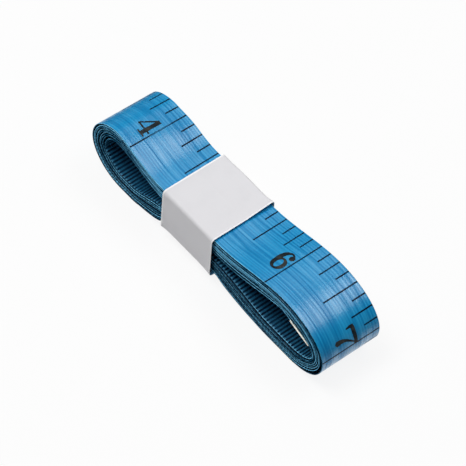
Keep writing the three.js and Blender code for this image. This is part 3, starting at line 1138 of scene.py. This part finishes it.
class AddEndClips(bpy.types.Operator):
    """Adds the brass clips that are folded over the two ends of the strip"""

    bl_idname = "object.tape_measure_end_clips"
    bl_label = "Add End Clips"

    # Shares of the clip's half width: the outer dents' places, and where the side walls start
    dent_share = 0.62
    wall_share = 0.9

    # How much of the height the walls close, at a leaf's ends and in its middle
    closed_share = 0.4
    closed_middle_share = 0.95

    def execute(self, context):
        sizes = context.scene.tape_fitting_sizes
        winding = Winding(context.scene.tape_winding_sizes)
        brass = brass_finish(context.scene.tape_measure_colours)
        last_shift = winding.drift(winding.length)
        ends = (
            ("outer_clip", "outer_end_clip", winding.stations[0], -1, winding.drift(0), 0),
            ("inner_clip", "inner_end_clip", winding.stations[-1], 1, last_shift, sizes.clip_bulge),
        )
        for name, node, tip, way, shift, bulge in ends:
            clip = self.folded(context, name, winding.half, bulge)
            out_x = tip.nz * way
            out_z = -tip.nx * way
            axes = Matrix((
                (out_x, 0, -out_z, tip.x),
                (0, 1, 0, shift),
                (out_z, 0, out_x, tip.z),
                (0, 0, 0, 1),
            ))
            clip.data.transform(axes)
            clip.data.materials.append(brass)
            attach(clip, "winding")
            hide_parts(node)
        return {"FINISHED"}

    def folded(self, context, name, half, most):
        """A clip about a strip whose tip is at the origin and which lies towards -X."""
        sizes = context.scene.tape_fitting_sizes
        radius = half + sizes.clip_fit
        leaf = sizes.clip_length
        fold = math.pi * radius
        whole = 2 * leaf + fold
        reach = context.scene.tape_winding_sizes.tape_width / 2 + sizes.clip_fit
        dents = [-self.dent_share * reach, 0, self.dent_share * reach]

        def wrap(share, across):
            """The sheet's leaves face each other, and its outermost strips are the clip's side walls."""
            walk = share * whole
            y = reach * min(max(across / self.wall_share, -1), 1)
            bulge = math.sin(math.pi * min(walk, whole - walk, leaf) / leaf)
            closed = self.closed_share + (self.closed_middle_share - self.closed_share) * bulge
            stand = radius + most * bulge * (walk < leaf)
            height = stand * (1 - between(abs(across), self.wall_share, 1 - self.wall_share) * closed)
            if walk < leaf:
                x, z, side = walk - leaf, height, 1
            elif walk < leaf + fold:
                angle = math.pi / 2 - (walk - leaf) / radius
                return Vector((height * math.cos(angle), y, height * math.sin(angle)))
            else:
                x, z, side = leaf + fold - walk, -height, -1
            for dent in dents:
                away = math.hypot(x + leaf / 2, y - dent) / sizes.dent_radius
                z -= side * sizes.dent_depth * math.exp(-away * away * 2)
            return Vector((x, y, z))

        clip = wrapped_sheet(name, width=2, rows=60, columns=40, wrap=wrap)
        thickened(clip, sizes.clip_sheet, offset=1, bevel=sizes.clip_sheet / 6)
        return clip


class AddPaperBand(bpy.types.Operator):
    """Adds the strip of paper that is wrapped round the waist and glued underneath"""

    bl_idname = "object.tape_measure_paper_band"
    bl_label = "Add Paper Band"

    # The overlap steps down over this run, onto this much glue
    step_run = 0.6 * MM
    glue = 0.03 * MM

    # The small crown on top, and the powers with which the band swells to its sides and flares to its ends
    crown = 0.10 * MM
    side_power = 4
    end_power = 6

    # Where the bulge on top and the lifted corner start, as shares of the half width and the half length
    bulge_start_share = 0.1
    lift_start_share = 0.6

    def execute(self, context):
        sizes = context.scene.tape_fitting_sizes
        strip = context.scene.tape_winding_sizes
        step = Winding(strip).paper_step()
        corner = sizes.band_corner
        side = BAND_HIGH.y - sizes.paper / 2
        high = BAND_HIGH.z - sizes.paper / 2
        low = BAND_LOW.z + 2 * step + sizes.paper / 2
        flat_y = side - corner
        flat_z = (high - low) / 2 - corner
        middle = (high + low) / 2
        quarter = math.pi * corner / 2
        runs = [flat_y, quarter, 2 * flat_z, quarter, 2 * flat_y, quarter, 2 * flat_z, quarter, flat_y]
        whole = sum(runs) + sizes.band_overlap
        half_length = (BAND_HIGH.x - BAND_LOW.x) / 2
        centre = (BAND_HIGH.x + BAND_LOW.x) / 2

        def profile(walk):
            """The band's section: from the middle of its underside, round the near side and back."""
            y, z, heading = 0, low, math.pi
            for index, run in enumerate(runs):
                part = min(walk, run)
                if index % 2 == 0:
                    y += part * math.cos(heading)
                    z += part * math.sin(heading)
                else:
                    turn = part / corner
                    hub_y = y + corner * math.sin(heading)
                    hub_z = z - corner * math.cos(heading)
                    heading -= turn
                    y = hub_y - corner * math.sin(heading)
                    z = hub_z + corner * math.cos(heading)
                walk -= part
                if walk <= 0:
                    return y, z, heading
            down = eased(between(walk, 0, self.step_run)) * (sizes.paper + self.glue)
            return y - walk, z - down, heading

        def wrap(share, across):
            y, z, heading = profile(share * whole)
            end = across / half_length
            inward = 1 - end ** 2
            flare = end ** self.end_power
            y -= sizes.band_flare * flare * math.sin(heading)
            rise = sizes.band_flare if z > middle and across > 0 else sizes.top_flare
            z += rise * flare * math.cos(heading)
            z += self.crown * inward * (1 - (y / side) ** 2 if z > middle + flat_z else 0)
            far = max(y / side - self.bulge_start_share, 0) if z > middle + flat_z else 0
            z += sizes.top_bulge * far * inward
            y += sizes.side_bulge * max(y / side, 0) ** self.side_power * inward
            y -= sizes.near_bulge * max(-y / side, 0) ** self.side_power
            z += sizes.corner_lift * far * max(end - self.lift_start_share, 0) * 2
            return Vector((centre + across, y, z))

        band = wrapped_sheet("paper_wrap", width=2 * half_length, rows=420, columns=36, wrap=wrap)
        thickened(band, sizes.paper, offset=0, bevel=sizes.paper / 4)
        band.data.materials.append(paper_finish(context.scene.tape_measure_colours, sizes.band_rim))
        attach(band, "band")
        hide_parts("paper_band")
        return {"FINISHED"}


class AddStage(bpy.types.Operator):
    """Adds the pale floor, the soft lamps and the camera"""

    bl_idname = "object.tape_measure_stage"
    bl_label = "Add Stage"

    # The camera that the photograph's scale marks and band corners give
    picture_pixels = 466
    focal_pixels = 3515
    azimuth = math.radians(46.60)
    elevation = math.radians(52.79)
    roll = math.radians(5.05)
    distance = 831.0 * MM
    aim = Vector((0.19, 0.15, 8.44)) * MM

    # Each lamp's place, width, depth and power, in metres and watts
    lamps = {
        "softbox": (Vector((0.15, 0.32, 0.66)), 0.46, 0.36, 1.8),
        "overhead": (Vector((-0.20, -0.19, 0.74)), 0.40, 0.40, 4.1),
        "wall": (Vector((-0.38, 0.34, 0.64)), 0.40, 0.40, 0.5),
        "pale_wall": (Vector((-0.64, 0.29, 0.10)), 0.50, 0.36, 0.10),
    }
    world_strength = 0.04
    floor_side = 8

    def execute(self, context):
        self.floor(context)
        self.world(context)
        for name, settings in self.lamps.items():
            self.lamp(context, name, *settings)
        self.camera(context)
        context.scene.view_settings.view_transform = "Standard"
        return {"FINISHED"}

    def floor(self, context):
        bpy.ops.object.select_all(action="DESELECT")
        bpy.ops.mesh.primitive_plane_add(size=self.floor_side)
        floor = context.object
        floor.name = "floor"
        floor.data.materials.append(floor_finish(context.scene.tape_measure_colours))

    def world(self, context):
        world = bpy.data.worlds.new("studio")
        context.scene.world = world
        world.use_nodes = True
        background = world.node_tree.nodes["Background"]
        background.inputs["Color"].default_value = (1, 1, 1, 1)
        background.inputs["Strength"].default_value = self.world_strength

    def lamp(self, context, name, place, width, depth, power):
        """A soft rectangular lamp that faces the tape measure."""
        data = bpy.data.lights.new(name, "AREA")
        data.shape = "RECTANGLE"
        data.size = width
        data.size_y = depth
        data.energy = power
        lamp = bpy.data.objects.new(name, data)
        context.scene.collection.objects.link(lamp)
        lamp.location = place
        lamp.rotation_mode = "QUATERNION"
        lamp.rotation_quaternion = (self.aim - place).to_track_quat("-Z", "Y")

    def camera(self, context):
        back = Vector((
            math.sin(self.azimuth) * math.cos(self.elevation),
            -math.cos(self.azimuth) * math.cos(self.elevation),
            math.sin(self.elevation),
        ))
        level = (-back).cross(Vector((0, 0, 1))).normalized()
        rise = level.cross(-back)
        right = math.cos(self.roll) * level + math.sin(self.roll) * rise
        up = math.cos(self.roll) * rise - math.sin(self.roll) * level
        data = bpy.data.cameras.new("camera")
        data.sensor_width = 36
        data.lens = self.focal_pixels / self.picture_pixels * data.sensor_width
        camera = bpy.data.objects.new("camera", data)
        context.scene.collection.objects.link(camera)
        camera.rotation_mode = "QUATERNION"
        camera.rotation_quaternion = Matrix((right, up, back)).transposed().to_quaternion()
        camera.location = self.aim + back * self.distance
        context.scene.camera = camera


class DeclareSoftGoods(bpy.types.Operator):
    bl_idname = "object.tape_measure_declare"
    bl_label = "Declare Soft Goods"

    def execute(self, context):
        return {"FINISHED"}


OPERATORS = (
    AddStage,
    AddTapeStrip,
    AddInchScale,
    AddCentimetreScale,
    AddEndClips,
    AddPaperBand,
    DeclareSoftGoods,
)
GROUPS = {
    "tape_winding_sizes": TapeWindingSizes,
    "tape_scale_sizes": TapeScaleSizes,
    "tape_fitting_sizes": TapeFittingSizes,
    "tape_measure_colours": TapeMeasureColours,
}


class TapeMeasurePanel(bpy.types.Panel):
    """The tape measure's pieces, sizes and colours"""

    bl_idname = "VIEW3D_PT_tape_measure"
    bl_label = "Tape Measure"
    bl_space_type = "VIEW_3D"
    bl_region_type = "UI"
    bl_category = "Tape Measure"

    def draw(self, context):
        for operator in OPERATORS:
            self.layout.operator(operator.bl_idname)
        for name, group in GROUPS.items():
            box = self.layout.box()
            for field in group.__annotations__:
                box.prop(getattr(context.scene, name), field)


def register():
    for group in GROUPS.values():
        bpy.utils.register_class(group)
    for operator in OPERATORS:
        bpy.utils.register_class(operator)
    bpy.utils.register_class(TapeMeasurePanel)
    for name, group in GROUPS.items():
        setattr(bpy.types.Scene, name, PointerProperty(type=group))


def unregister():
    for name in GROUPS:
        delattr(bpy.types.Scene, name)
    bpy.utils.unregister_class(TapeMeasurePanel)
    for operator in reversed(OPERATORS):
        bpy.utils.unregister_class(operator)
    for group in reversed(GROUPS.values()):
        bpy.utils.unregister_class(group)


def main():
    register()
    bpy.ops.object.tape_measure_stage()
    bpy.ops.object.tape_measure_strip()
    bpy.ops.object.tape_measure_inch_scale()
    bpy.ops.object.tape_measure_centimetre_scale()
    bpy.ops.object.tape_measure_end_clips()
    bpy.ops.object.tape_measure_paper_band()
    bpy.ops.object.tape_measure_declare()


if __name__ == "__main__":
    main()
